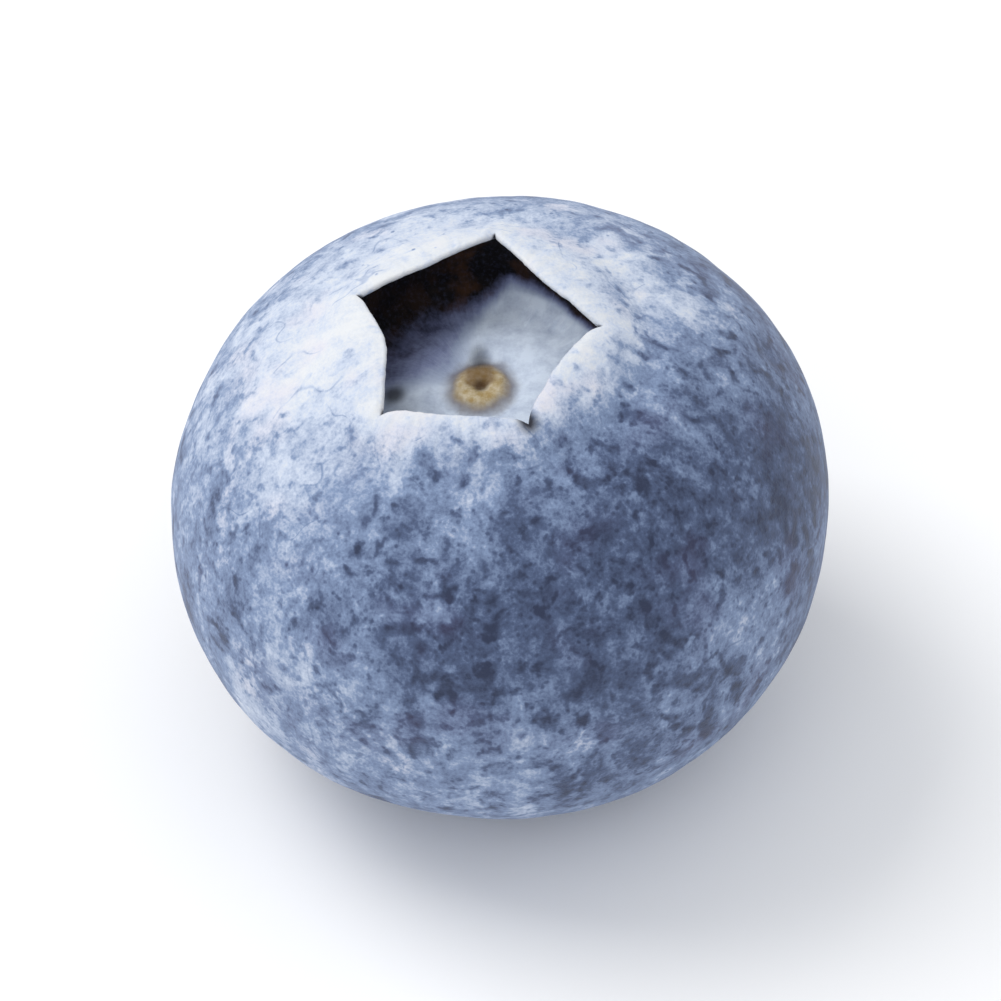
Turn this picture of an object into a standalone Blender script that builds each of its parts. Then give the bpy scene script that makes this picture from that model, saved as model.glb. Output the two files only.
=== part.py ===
"""A ripe blueberry, picked, resting on its stem end with its crown leaning a little to one side.

The berry grew as one piece, so it is one solid. Its surface is a globe of rings and spokes that
runs from the broken stub in the middle of the stem scar, over the torn collar and the level ring
that the berry stands on, up the flank to the five calyx lobes, round their edges, down the wall
of the crown's bowl and in over its disc to the scar of the style.
"""

import math

import bmesh
import bpy
from mathutils import Matrix, Vector

MM = 0.001

# The body: a flattened globe, a little fuller at the shoulder than an ellipsoid.
EQUATOR_RADIUS = 8.0 * MM
EQUATOR_HEIGHT = 6.5 * MM
UPPER_RISE = 6.8 * MM
BODY_FULLNESS = 2.15

# A grown thing is never quite round: how far its girth swells and dips, and where it swells most.
OVAL_SWELL = 0.015
OVAL_AZIMUTH = math.radians(38.0)
THREE_SIDED_SWELL = 0.006
THREE_SIDED_AZIMUTH = math.radians(34.0)

# The level ring of skin that the berry stands on, round the stem scar.
REST_INNER_RADIUS = 1.95 * MM
REST_OUTER_RADIUS = 2.6 * MM

# The crown's star-shaped mouth: where each of its five notches points, and how far out it runs.
NOTCH_AZIMUTHS = [math.radians(degrees) for degrees in (358.6, 79.7, 151.8, 227.5, 294.7)]
NOTCH_RADII = [radius * MM for radius in (3.04, 3.12, 3.06, 3.10, 3.15)]

# The lobes between the notches, each counted from the notch that it follows: the middle of its
# edge lies at this share of the notches' radius. A slit runs a little further out at each notch,
# with a crease in the skin over it.
LOBE_REACHES = [0.69, 0.75, 0.66, 0.84, 0.79]
LOBE_THICKNESS = 0.24 * MM
LOBE_PUFF = 0.30 * MM
PUFF_STEEPNESS = 1.3
SLIT_LENGTH = 0.04
SLIT_SHARPNESS = 14
CREASE_DEPTH = 0.08 * MM
CREASE_SHARPNESS = 8

# The faint furrow in the skin round the lobes, and the shoulder just outside it.
FURROW_RADIUS = 4.2 * MM
FURROW_WIDTH = 0.45 * MM
FURROW_DEPTH = 0.09 * MM
SHOULDER_RADIUS = FURROW_RADIUS + 1.6 * FURROW_WIDTH

# The bowl inside the crown: its wall stands this far outside the notches.
BOWL_HEIGHT = 10.98 * MM
WALL_GAP = 0.12 * MM

# How far the crown leans, which way, and over what height the body bends to it.
LEAN = math.radians(8.1)
LEAN_AZIMUTH = math.radians(221.6)
LEAN_HEIGHT = 6.5 * MM

# The globe's mesh: spokes along each lobe, and rings on the flank and over the lobes.
SPOKES_PER_LOBE = 14
FLANK_RINGS = 20
LOBE_RINGS = 6

# The stem scar from its middle outwards: radius, and height above the surface it stands on.
STEM_SCAR = [
    (0.00 * MM, 0.58 * MM),  # tip of the broken stub
    (0.24 * MM, 0.62 * MM),
    (0.36 * MM, 0.84 * MM),  # foot of the stub
    (0.62 * MM, 0.94 * MM),  # floor of the pit
    (0.86 * MM, 0.80 * MM),
    (0.98 * MM, 0.45 * MM),
    (1.10 * MM, 0.18 * MM),
    (1.24 * MM, 0.12 * MM),  # crest of the torn collar
    (1.40 * MM, 0.20 * MM),
    (1.64 * MM, 0.18 * MM),  # shallow dimple round the collar
    (REST_INNER_RADIUS, 0.0),
    (REST_OUTER_RADIUS, 0.0),
]

# A lobe's rounded edge: how far round it each ring lies, from its upper skin to its underside.
EDGE_TURNS = [math.radians(degrees) for degrees in (20.0, 55.0, 90.0, 125.0, 160.0)]

# Under a lobe: shares of the way out from its edge to the bowl's wall, and down to the floor.
UNDERCUT = [(0.6, 0.08), (1.0, 0.24), (1.0, 0.55), (0.86, 0.80)]

# The bowl from the wall's foot to the middle: radius, and height above the bowl's own height.
BOWL_FLOOR = [
    (2.74 * MM, 0.14 * MM),
    (2.40 * MM, 0.04 * MM),  # faint dip round the disc
    (2.02 * MM, 0.08 * MM),
    (1.56 * MM, 0.12 * MM),
    (1.14 * MM, 0.06 * MM),
    (0.88 * MM, 0.01 * MM),  # moat round the style scar
    (0.65 * MM, 0.10 * MM),
    (0.41 * MM, 0.18 * MM),  # rim of the style scar
    (0.18 * MM, 0.12 * MM),
    (0.00 * MM, 0.08 * MM),
]

SKIN_COLOUR = (0.16, 0.22, 0.42, 1.0)
SKIN_ROUGHNESS = 0.62


def ease(amount):
    """Runs from 0 to 1 with level ends."""
    amount = min(max(amount, 0.0), 1.0)
    return amount * amount * (3.0 - 2.0 * amount)


def mix(start, end, amount):
    return start + (end - start) * amount


def globe_share(radius):
    """How high the globe stands over its equator at this radius, as a share of its full rise."""
    return (1.0 - (radius / EQUATOR_RADIUS) ** BODY_FULLNESS) ** (1.0 / BODY_FULLNESS)


def girth(azimuth):
    oval = OVAL_SWELL * math.cos(2.0 * (azimuth - OVAL_AZIMUTH))
    return 1.0 + oval + THREE_SIDED_SWELL * math.cos(3.0 * (azimuth - THREE_SIDED_AZIMUTH))


def flank_point(amount, azimuth):
    """From the outer edge of the resting ring, over the equator, to the shoulder."""
    power = 2.0 / BODY_FULLNESS
    low = -math.acos((REST_OUTER_RADIUS / EQUATOR_RADIUS) ** (1.0 / power))
    high = math.acos((SHOULDER_RADIUS / EQUATOR_RADIUS) ** (1.0 / power))
    angle = mix(low, high, amount)
    lower_rise = EQUATOR_HEIGHT / globe_share(REST_OUTER_RADIUS)
    rise = lower_rise if angle < 0.0 else UPPER_RISE
    height = EQUATOR_HEIGHT + math.copysign(rise * abs(math.sin(angle)) ** power, angle)
    swell = mix(1.0, girth(azimuth), math.sin(math.pi * amount) ** 2)
    return EQUATOR_RADIUS * math.cos(angle) ** power * swell, height


def place_on_lobe(spoke):
    """A spoke's azimuth, nearness to a notch, from 0 to 1, notch radius and mouth radius."""
    lobe, step = divmod(spoke, SPOKES_PER_LOBE)
    along = step / SPOKES_PER_LOBE
    following = (lobe + 1) % len(NOTCH_AZIMUTHS)
    turn = (NOTCH_AZIMUTHS[following] - NOTCH_AZIMUTHS[lobe]) % math.tau
    nearness = abs(2.0 * along - 1.0)
    notch_radius = mix(NOTCH_RADII[lobe], NOTCH_RADII[following], along)
    mouth = notch_radius * mouth_share(nearness, LOBE_REACHES[lobe])
    return NOTCH_AZIMUTHS[lobe] + turn * along, nearness, notch_radius, mouth


def mouth_share(nearness, reach):
    """The mouth is a pentagon with slightly rounded sides and a short slit at each corner."""
    side = reach + (1.0 - reach - SLIT_LENGTH) * nearness**2
    return side + SLIT_LENGTH * nearness**SLIT_SHARPNESS


def crown_skin(radius, nearness, mouth):
    """Height of the skin on the crown: the globe, its furrow, the puffed lobes, their creases."""
    furrow = FURROW_DEPTH * math.exp(-(((radius - FURROW_RADIUS) / FURROW_WIDTH) ** 2))
    inwards = (FURROW_RADIUS - radius) / (FURROW_RADIUS - mouth)
    puff = LOBE_PUFF * ease(PUFF_STEEPNESS * inwards)
    crease = CREASE_DEPTH * nearness**CREASE_SHARPNESS * ease(inwards)
    return EQUATOR_HEIGHT + UPPER_RISE * globe_share(radius) - furrow + puff - crease


def crown_points(nearness, notch_radius, mouth):
    """From the shoulder over a lobe, round its edge, and down and in to the style scar."""
    half = 0.5 * LOBE_THICKNESS
    points = []
    for ring in range(1, LOBE_RINGS + 1):
        radius = mix(SHOULDER_RADIUS, mouth + half, ring / LOBE_RINGS)
        points.append((radius, crown_skin(radius, nearness, mouth)))

    edge_middle = crown_skin(mouth + half, nearness, mouth) - half
    for turn in EDGE_TURNS:
        points.append((mouth + half - half * math.sin(turn), edge_middle + half * math.cos(turn)))

    wall = notch_radius + WALL_GAP
    underside = points[-1][1]
    for out, down in UNDERCUT:
        points.append((mix(mouth, wall, out), mix(underside, BOWL_HEIGHT, down)))
    return points + [(radius, BOWL_HEIGHT + height) for radius, height in BOWL_FLOOR]


def profile(spoke):
    """A spoke's azimuth, and its rings' radii and heights, from stem scar to style scar."""
    azimuth, nearness, notch_radius, mouth = place_on_lobe(spoke)
    flank = [flank_point(ring / FLANK_RINGS, azimuth) for ring in range(1, FLANK_RINGS + 1)]
    return azimuth, STEM_SCAR + flank + crown_points(nearness, notch_radius, mouth)


def leaned(radius, azimuth, height):
    """Bends the upright body so that its crown leans while its resting ring stays level."""
    bent = min(height / LEAN_HEIGHT, 1.0)
    straight = max(height - LEAN_HEIGHT, 0.0)
    sideways = LEAN * LEAN_HEIGHT * (bent**3 - 0.5 * bent**4) + straight * math.sin(LEAN)
    upwards = min(height, LEAN_HEIGHT) + straight * math.cos(LEAN)
    middle = Vector((math.cos(LEAN_AZIMUTH), math.sin(LEAN_AZIMUTH), 0.0)) * sideways
    middle.z = upwards

    tilt_axis = Vector((-math.sin(LEAN_AZIMUTH), math.cos(LEAN_AZIMUTH), 0.0))
    across = Vector((radius * math.cos(azimuth), radius * math.sin(azimuth), 0.0))
    return middle + Matrix.Rotation(LEAN * ease(bent), 3, tilt_axis) @ across


def skin_material():
    material = bpy.data.materials.new("blueberry_skin")
    material.use_nodes = True
    shader = material.node_tree.nodes["Principled BSDF"]
    shader.inputs["Base Color"].default_value = SKIN_COLOUR
    shader.inputs["Roughness"].default_value = SKIN_ROUGHNESS
    shader.inputs["Metallic"].default_value = 0.0
    material.diffuse_color = SKIN_COLOUR
    return material


def centre_over_origin(shape):
    """Moves the berry level, so that the middle of its outline from above is at the origin."""
    middle = Vector((0.0, 0.0, 0.0))
    for axis in range(2):
        places = [vertex.co[axis] for vertex in shape.verts]
        middle[axis] = 0.5 * (min(places) + max(places))
    bmesh.ops.translate(shape, verts=shape.verts, vec=-middle)


def make_berry(collection):
    spokes = SPOKES_PER_LOBE * len(NOTCH_AZIMUTHS)
    profiles = [profile(spoke) for spoke in range(spokes)]
    rings = len(profiles[0][1]) - 1

    shape = bmesh.new()
    bmesh.ops.create_uvsphere(shape, u_segments=spokes, v_segments=rings, radius=1.0)
    for vertex in shape.verts:
        latitude = math.asin(max(-1.0, min(1.0, vertex.co.z)))
        longitude = math.atan2(vertex.co.y, vertex.co.x)
        azimuth, points = profiles[round(longitude / math.tau * spokes) % spokes]
        radius, height = points[round((latitude / math.pi + 0.5) * rings)]
        vertex.co = leaned(radius, azimuth, height)
    centre_over_origin(shape)
    bmesh.ops.recalc_face_normals(shape, faces=shape.faces)

    mesh = bpy.data.meshes.new("blueberry")
    shape.to_mesh(mesh)
    shape.free()
    mesh.materials.append(skin_material())
    mesh.shade_smooth()
    collection.objects.link(bpy.data.objects.new("blueberry", mesh))


def main():
    for old in list(bpy.data.objects):
        bpy.data.objects.remove(old)
    collection = bpy.data.collections.new("Blueberry")
    bpy.context.scene.collection.children.link(collection)
    make_berry(collection)


main()
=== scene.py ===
# %% [markdown]
# # A blueberry, picked and set down on its stem end
#
# The packed solid gives the berry's true size and its main shape in some seven thousand flat
# triangles. This lesson lays a fine skin over it: the same globe with about twenty-five times as
# many triangles, then its small relief, its wax bloom, the lining of its crown and its stem scar.
# Every length below is written in millimetres and turned into metres once, when a mesh is made.

import math

import bmesh
import bpy
import numpy as np
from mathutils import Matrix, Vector, noise
from mathutils.bvhtree import BVHTree


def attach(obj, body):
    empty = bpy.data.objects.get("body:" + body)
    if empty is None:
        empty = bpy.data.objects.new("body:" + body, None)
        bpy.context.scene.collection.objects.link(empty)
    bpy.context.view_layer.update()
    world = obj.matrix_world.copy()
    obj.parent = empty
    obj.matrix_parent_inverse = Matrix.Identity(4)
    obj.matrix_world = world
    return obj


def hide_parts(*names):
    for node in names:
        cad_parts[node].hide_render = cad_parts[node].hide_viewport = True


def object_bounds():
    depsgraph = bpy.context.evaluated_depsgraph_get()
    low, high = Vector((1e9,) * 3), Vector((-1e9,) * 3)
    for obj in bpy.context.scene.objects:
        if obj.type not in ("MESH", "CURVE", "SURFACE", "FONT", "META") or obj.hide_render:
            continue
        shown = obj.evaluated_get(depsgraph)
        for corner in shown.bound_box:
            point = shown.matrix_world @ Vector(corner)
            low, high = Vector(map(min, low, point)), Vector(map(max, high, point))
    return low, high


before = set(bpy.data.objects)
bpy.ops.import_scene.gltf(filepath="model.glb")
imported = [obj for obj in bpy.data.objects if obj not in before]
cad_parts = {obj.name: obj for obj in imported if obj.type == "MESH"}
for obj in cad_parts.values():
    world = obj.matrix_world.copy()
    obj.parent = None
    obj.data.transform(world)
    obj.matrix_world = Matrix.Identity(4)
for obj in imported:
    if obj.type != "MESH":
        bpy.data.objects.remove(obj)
CAD_LOW, CAD_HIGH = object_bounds()
MM = 0.001
print("solid in mm:", [round(side / MM, 2) for side in CAD_HIGH - CAD_LOW])

# %% [markdown]
# ## The body
#
# A ripe berry is a flattened globe, slightly oval and slightly three-sided. It could be sculpted
# or grown from a subdivided cage, but then it would drift from the solid that the physics uses.
# So the skin repeats the solid's own dimensions and its own formula, and only asks for more
# points. A superellipse gives the flank: two radii and one fullness say it all.

# %% Dimensions of the body
EQUATOR_RADIUS = 8.0
EQUATOR_HEIGHT = 6.5
UPPER_RISE = 6.8
BODY_FULLNESS = 2.15
OVAL_SWELL = 0.015
OVAL_AZIMUTH = math.radians(38.0)
THREE_SIDED_SWELL = 0.006
THREE_SIDED_AZIMUTH = math.radians(34.0)
REST_INNER_RADIUS = 1.95
REST_OUTER_RADIUS = 2.6
FURROW_RADIUS = 4.2
FURROW_WIDTH = 0.45
FURROW_DEPTH = 0.09
SHOULDER_RADIUS = FURROW_RADIUS + 1.6 * FURROW_WIDTH
FLANK_STATIONS = 20
print("equator:", 2 * EQUATOR_RADIUS, "mm across, at a height of", EQUATOR_HEIGHT, "mm")

# %% [markdown]
# ## The flank
#
# Cut the berry from its resting ring to the crown and the cut is one long bulge. It could be a
# curve drawn by hand. A list of stations, each a radius and a height, does the same in a way that
# can be checked: equal steps of an angle put more of them where the bulge turns fastest.

# %% From the resting ring, over the equator, to the shoulder
def ease(amount):
    """Runs from 0 to 1 with level ends."""
    amount = np.clip(amount, 0.0, 1.0)
    return amount * amount * (3.0 - 2.0 * amount)


def mix(start, end, amount):
    return start + (end - start) * amount


def globe_share(radius):
    """How high the globe stands over its equator at a radius, as a share of its full rise."""
    return (1.0 - (radius / EQUATOR_RADIUS) ** BODY_FULLNESS) ** (1.0 / BODY_FULLNESS)


def girth(azimuth):
    oval = OVAL_SWELL * np.cos(2.0 * (azimuth - OVAL_AZIMUTH))
    return 1.0 + oval + THREE_SIDED_SWELL * np.cos(3.0 * (azimuth - THREE_SIDED_AZIMUTH))


def flank_stations(azimuth):
    """Radius and height from the resting ring, over the equator, to the shoulder."""
    power = 2.0 / BODY_FULLNESS
    low = -math.acos((REST_OUTER_RADIUS / EQUATOR_RADIUS) ** (1.0 / power))
    high = math.acos((SHOULDER_RADIUS / EQUATOR_RADIUS) ** (1.0 / power))
    lower_rise = EQUATOR_HEIGHT / globe_share(REST_OUTER_RADIUS)
    stations = []
    for number in range(1, FLANK_STATIONS + 1):
        amount = number / FLANK_STATIONS
        angle = mix(low, high, amount)
        rise = lower_rise if angle < 0.0 else UPPER_RISE
        height = EQUATOR_HEIGHT + math.copysign(rise * abs(math.sin(angle)) ** power, angle)
        swell = mix(1.0, girth(azimuth), math.sin(math.pi * amount) ** 2)
        radius = EQUATOR_RADIUS * math.cos(angle) ** power * swell
        stations.append((radius, np.full_like(azimuth, height)))
    return stations


print("flank:", FLANK_STATIONS, "stations, widest share", round(float(girth(OVAL_AZIMUTH)), 3))

# %% [markdown]
# ## The crown
#
# The flower's calyx stays on the fruit as five lobes that fold in over a bowl. Five separate
# leaves could be modelled and joined, yet they grow from the skin without a seam, so each spoke
# of the globe is simply told where its lobe ends. Between two notches the mouth's edge runs
# nearly straight. A little noise makes the edge ragged, because a real lobe dries unevenly. These
# are the crown's measures; the two steps after them turn them into stations.

# %% Dimensions of the crown
NOTCH_AZIMUTHS = [math.radians(degrees) for degrees in (358.6, 79.7, 151.8, 227.5, 294.7)]
NOTCH_RADII = [3.04, 3.12, 3.06, 3.10, 3.15]
LOBE_REACHES = [0.69, 0.75, 0.66, 0.84, 0.79]
LOBE_THICKNESS = 0.24
LOBE_PUFF = 0.30
PUFF_STEEPNESS = 1.3
SLIT_LENGTH = 0.04
SLIT_SHARPNESS = 14
CREASE_DEPTH = 0.08
CREASE_SHARPNESS = 8
LOBE_STATIONS = 6
EDGE_TURNS = [math.radians(degrees) for degrees in (20.0, 55.0, 90.0, 125.0, 160.0)]
UNDERCUT = [(0.6, 0.08), (1.0, 0.24), (1.0, 0.55), (0.86, 0.80)]  # shares: outwards, down
WALL_GAP = 0.12
BOWL_HEIGHT = 10.98
BOWL_FLOOR = [
    (2.74, 0.14),  # radius, height over the lowest level of the bowl
    (2.40, 0.04),  # faint dip round the disc
    (2.02, 0.08),
    (1.56, 0.12),
    (1.14, 0.06),
    (0.88, 0.01),  # moat round the style scar
    (0.65, 0.10),
    (0.41, 0.18),  # rim of the style scar
    (0.18, 0.12),
    (0.00, 0.08),
]
EDGE_RAGGEDNESS = 0.035
EDGE_NOISES = [(1.0, 5.0, 3.1), (0.5, 14.0, 7.7), (0.3, 30.0, 1.9)]  # share, detail, seed
EDGE_CALM = 6  # the higher, the nearer to the notches the edge stays ragged
WAVE_HEIGHT, WAVE_DETAIL, WAVE_SEED = 0.04, 2.4, 5.5
SPOKES_PER_LOBE = 73
SPOKES = SPOKES_PER_LOBE * len(NOTCH_AZIMUTHS)
print("spokes:", SPOKES, "in", len(NOTCH_AZIMUTHS), "lobes")

# %% [markdown]
# ## The mouth of the crown
#
# Each lobe's free edge runs from one notch to the next. Five curves could be drawn for it, but a
# spoke only needs to know where it stops. So the spokes are dealt out between the notches, and
# each gets its own mouth radius: a nearly straight side, a short slit at the notch, and a little
# raggedness that calms down beside the slit.

# %% End each spoke at its lobe's edge
def ring_noise(azimuth, detail, seed):
    """Smooth noise round a circle, with no seam, from about -1 to 1."""
    spots = [Vector((detail * math.cos(a), detail * math.sin(a), seed)) for a in azimuth]
    return np.array([noise.noise(spot) for spot in spots])


def lay_out_spokes():
    """Per spoke: azimuth, nearness to a notch, the notches' radius and the mouth's radius."""
    lobe, step = np.divmod(np.arange(SPOKES), SPOKES_PER_LOBE)
    following = (lobe + 1) % len(NOTCH_AZIMUTHS)
    along = step / SPOKES_PER_LOBE
    starts, radii = np.array(NOTCH_AZIMUTHS), np.array(NOTCH_RADII)
    turn = (starts[following] - starts[lobe]) % math.tau
    azimuth = starts[lobe] + turn * along
    nearness = np.abs(2.0 * along - 1.0)
    notch_radius = mix(radii[lobe], radii[following], along)
    reach = np.array(LOBE_REACHES)[lobe]
    side = reach + (1.0 - reach - SLIT_LENGTH) * nearness**2
    mouth = notch_radius * (side + SLIT_LENGTH * nearness**SLIT_SHARPNESS)
    ragged = sum(share * ring_noise(azimuth, detail, seed) for share, detail, seed in EDGE_NOISES)
    mouth = mouth + EDGE_RAGGEDNESS * ragged * (1.0 - nearness**EDGE_CALM)
    return azimuth, nearness, notch_radius, mouth


azimuth, nearness, notch_radius, mouth = lay_out_spokes()
print("mouth of the crown:", round(2 * mouth.min(), 2), "to", round(2 * mouth.max(), 2), "mm across")

# %% [markdown]
# ## Over the lobes and down into the bowl
#
# A lobe is a thin, slightly puffed flap with a rounded edge. Under it the wall of the bowl is
# hollowed out, and below lies a nearly level floor with the round scar of the style. A boolean
# could cut such a bowl, but its seam would be hard to smooth. Here the same spoke just runs on:
# over the lobe, round its edge, back under it, down the wall and in to the middle.

# %% The stations of the lobes, the wall and the floor
def crown_skin(radius, azimuth, nearness, mouth):
    """Height of the skin on the crown: the globe, its furrow, the puffed lobes, their creases."""
    furrow = FURROW_DEPTH * np.exp(-(((radius - FURROW_RADIUS) / FURROW_WIDTH) ** 2))
    inwards = (FURROW_RADIUS - radius) / (FURROW_RADIUS - mouth)
    puff = LOBE_PUFF * ease(PUFF_STEEPNESS * inwards)
    crease = CREASE_DEPTH * nearness**CREASE_SHARPNESS * ease(inwards)
    wave = WAVE_HEIGHT * ring_noise(azimuth, WAVE_DETAIL, WAVE_SEED) * ease(inwards)
    return EQUATOR_HEIGHT + UPPER_RISE * globe_share(radius) - furrow + puff - crease + wave


def crown_stations(azimuth, nearness, notch_radius, mouth):
    """From the shoulder over a lobe, round its edge, and down and in to the style scar."""
    half = 0.5 * LOBE_THICKNESS
    stations = []
    for number in range(1, LOBE_STATIONS + 1):
        radius = mix(SHOULDER_RADIUS, mouth + half, number / LOBE_STATIONS)
        stations.append((radius, crown_skin(radius, azimuth, nearness, mouth)))

    edge_middle = crown_skin(mouth + half, azimuth, nearness, mouth) - half
    for turn in EDGE_TURNS:
        out = mouth + half - half * math.sin(turn)
        stations.append((out, edge_middle + half * math.cos(turn)))

    wall = notch_radius + WALL_GAP
    underside = stations[-1][1]
    for out, down in UNDERCUT:
        stations.append((mix(mouth, wall, out), mix(underside, BOWL_HEIGHT, down)))
    level = np.ones_like(mouth)
    return stations + [(radius * level, (BOWL_HEIGHT + up) * level) for radius, up in BOWL_FLOOR]


print("bowl's floor:", BOWL_HEIGHT, "mm up, with", len(BOWL_FLOOR), "stations")

# %% [markdown]
# ## The stem scar
#
# Underneath is the place where the stalk broke off: a dark round pit with a stub in its middle
# and a torn collar round it. It hides under the berry, but the part is judged from all sides.
# Its profile is a short list of radius and height, read from the middle outwards.

# %% Profile of the stem scar, and the whole profile of every spoke
STEM_SCAR = [
    (0.00, 0.58),  # tip of the broken stub
    (0.24, 0.62),
    (0.36, 0.84),  # foot of the stub
    (0.62, 0.94),  # floor of the pit
    (0.86, 0.80),
    (0.98, 0.45),
    (1.10, 0.18),
    (1.24, 0.12),  # crest of the torn collar
    (1.40, 0.20),
    (1.64, 0.18),  # shallow dimple round the collar
    (REST_INNER_RADIUS, 0.0),
    (REST_OUTER_RADIUS, 0.0),
]
level = np.ones(SPOKES)
stations = [(radius * level, height * level) for radius, height in STEM_SCAR]
stations += flank_stations(azimuth)
stations += crown_stations(azimuth, nearness, notch_radius, mouth)
PROFILE = np.array(stations).transpose(0, 2, 1)
EDGE_STATION = len(STEM_SCAR) + FLANK_STATIONS + LOBE_STATIONS + EDGE_TURNS.index(math.radians(90.0))
print("stations on a spoke:", len(PROFILE))

# %% [markdown]
# ## From stations to a smooth curve
#
# Straight lines between the stations would show as hoops. A Hermite curve through them, with
# each tangent weighted by the lengths on both sides, bends evenly and doesn't overshoot where a
# long step meets a short one, as it does at the thin edge of a lobe.

# %% Fill in the rings between the stations
RING_SPACING = 0.112
FEWEST_RINGS = 2


def ring_places(profile):
    """Places along the stations, as station number plus share, spaced evenly on the surface."""
    steps = np.linalg.norm(np.diff(profile, axis=0), axis=2).mean(axis=1)
    places = [0.0]
    for number, step in enumerate(steps):
        count = max(FEWEST_RINGS, round(step / RING_SPACING))
        places += [number + (part + 1) / count for part in range(count)]
    return np.array(places)


def smooth_profile(profile, places):
    step = np.diff(profile, axis=0)
    length = np.linalg.norm(step, axis=2, keepdims=True)
    slope = step / length
    inner = (slope[:-1] * length[1:] + slope[1:] * length[:-1]) / (length[:-1] + length[1:])
    outwards = np.zeros_like(slope[:1])
    outwards[..., 0] = 1.0
    tangent = np.concatenate([outwards, inner, -outwards])
    start = np.minimum(places.astype(int), len(profile) - 2)
    share = (places - start)[:, None, None]
    rest = 1.0 - share
    span = length[start]
    return (
        profile[start] * rest**2 * (1.0 + 2.0 * share)
        + profile[start + 1] * share**2 * (3.0 - 2.0 * share)
        + span * tangent[start] * share * rest**2
        - span * tangent[start + 1] * share**2 * rest
    )


PLACES = ring_places(PROFILE)
CURVE = smooth_profile(PROFILE, PLACES)
CURVE[..., 1] = np.maximum(CURVE[..., 1], 0.0)
hops = np.linalg.norm(np.diff(CURVE, axis=0), axis=2)
RUN = np.concatenate([np.zeros((1, SPOKES)), hops.cumsum(axis=0)])
EDGE_RING = int(np.argmin(np.abs(PLACES - EDGE_STATION)))
print("rings:", len(PLACES), "spokes:", SPOKES, "length of a spoke:", round(RUN[-1].mean(), 1), "mm")

# %% [markdown]
# ## The lean
#
# The crown of this berry points a little to one side while it sits level. Tilting the whole
# berry would lift it off its resting ring, so the upright body is bent: level at the bottom, and
# leaning in full from the equator up.

# %% Bend the curve and centre it as the solid is
LEAN = math.radians(8.1)
LEAN_AZIMUTH = math.radians(221.6)
LEAN_HEIGHT = 6.5


def leaned(radius, azimuth, height):
    bent = np.minimum(height / LEAN_HEIGHT, 1.0)
    straight = np.maximum(height - LEAN_HEIGHT, 0.0)
    sideways = LEAN * LEAN_HEIGHT * (bent**3 - 0.5 * bent**4) + straight * math.sin(LEAN)
    upwards = np.minimum(height, LEAN_HEIGHT) + straight * math.cos(LEAN)
    angle = LEAN * ease(bent)
    with_lean = radius * np.cos(azimuth - LEAN_AZIMUTH)
    across_lean = radius * np.sin(azimuth - LEAN_AZIMUTH)
    forwards = sideways + with_lean * np.cos(angle)
    x = forwards * math.cos(LEAN_AZIMUTH) - across_lean * math.sin(LEAN_AZIMUTH)
    y = forwards * math.sin(LEAN_AZIMUTH) + across_lean * math.cos(LEAN_AZIMUTH)
    return np.stack([x, y, upwards - with_lean * np.sin(angle)], axis=-1)


SURFACE = leaned(CURVE[..., 0], azimuth[None, :], CURVE[..., 1])
MIDDLE = 0.5 * (SURFACE.min(axis=(0, 1)) + SURFACE.max(axis=(0, 1)))
MIDDLE[2] = 0.0
SURFACE = SURFACE - MIDDLE
print("skin in mm:", np.round(SURFACE.max(axis=(0, 1)) - SURFACE.min(axis=(0, 1)), 2))

# %% [markdown]
# ## Small relief
#
# Skin under wax isn't a perfect globe. It has soft lumps a few millimetres wide, fine wrinkles
# that run up to the crown, shallow dents where it touched a neighbour, and inside the bowl the
# dry fibres of the old flower. All of it is geometry, a few hundredths of a millimetre high,
# pushed out along each point's normal. The skin sinks by as much first, so that no lump stands
# out of the solid's own box. Only what is finer than a face is left to the material.

# %% Relief in millimetres, ring by ring and spoke by spoke
# Each layer of noise is a share, a scale and a seed. A FADE is the length over which it dies away.
SKIN_SINK, SINK_FADE = 0.045, 0.2
LUMP_HEIGHT, LUMPS = 0.045, [(1.0, 0.42, 4.0), (0.35, 1.3, 9.0)]
WRINKLE_HEIGHT, WRINKLES = 0.022, [(1.0, 13.0, 2.0), (0.6, 31.0, 6.0)]
FIBRE_HEIGHT, FIBRES = 0.05, [(1.0, 24.0, 8.0), (0.7, 52.0, 1.0)]
FLOOR_GRAIN = [(0.02, 2.6, 3.0)]
GRAIN_STRETCH = 0.06
SCAR_END, SCAR_FADE = 3.2, 1.2  # along a spoke, from the middle of the stem scar
EDGE_FADE, WRINKLE_FADE = 0.5, 0.3
EVEN_WRINKLES, CROWN_WRINKLES_AT, CROWN_WRINKLES_REACH = 0.3, 1.0, 1.3
LINING_START, LINING_FADE = 0.35, 0.4
WALL_RADIUS, WALL_FADE = 2.05, 0.3
COLLAR_RADIUS, COLLAR_WIDTH, COLLAR_END = 1.2, 0.22, 3.0
DENT_COUNT, DENT_SEED = 26, 11
DENT_WIDTHS, DENT_DEPTHS = (0.25, 0.8), (0.015, 0.04)
PAST_EDGE = RUN - RUN[EDGE_RING]
FROM_AXIS = CURVE[..., 0]


def point_noise(points, scale, seed):
    """Smooth noise at many points, from about -1 to 1."""
    flat = (points * scale + seed).reshape(-1, 3)
    return np.array([noise.noise(Vector(spot)) for spot in flat]).reshape(points.shape[:-1])


def layers(points, noises):
    return sum(share * point_noise(points, scale, seed) for share, scale, seed in noises)


def grain_points():
    """Coordinates that are stretched along the spokes, for wrinkles, fibres and rub marks."""
    turn = np.broadcast_to(azimuth, RUN.shape)
    return np.stack([np.cos(turn), np.sin(turn), GRAIN_STRETCH * RUN], axis=-1)


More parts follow.
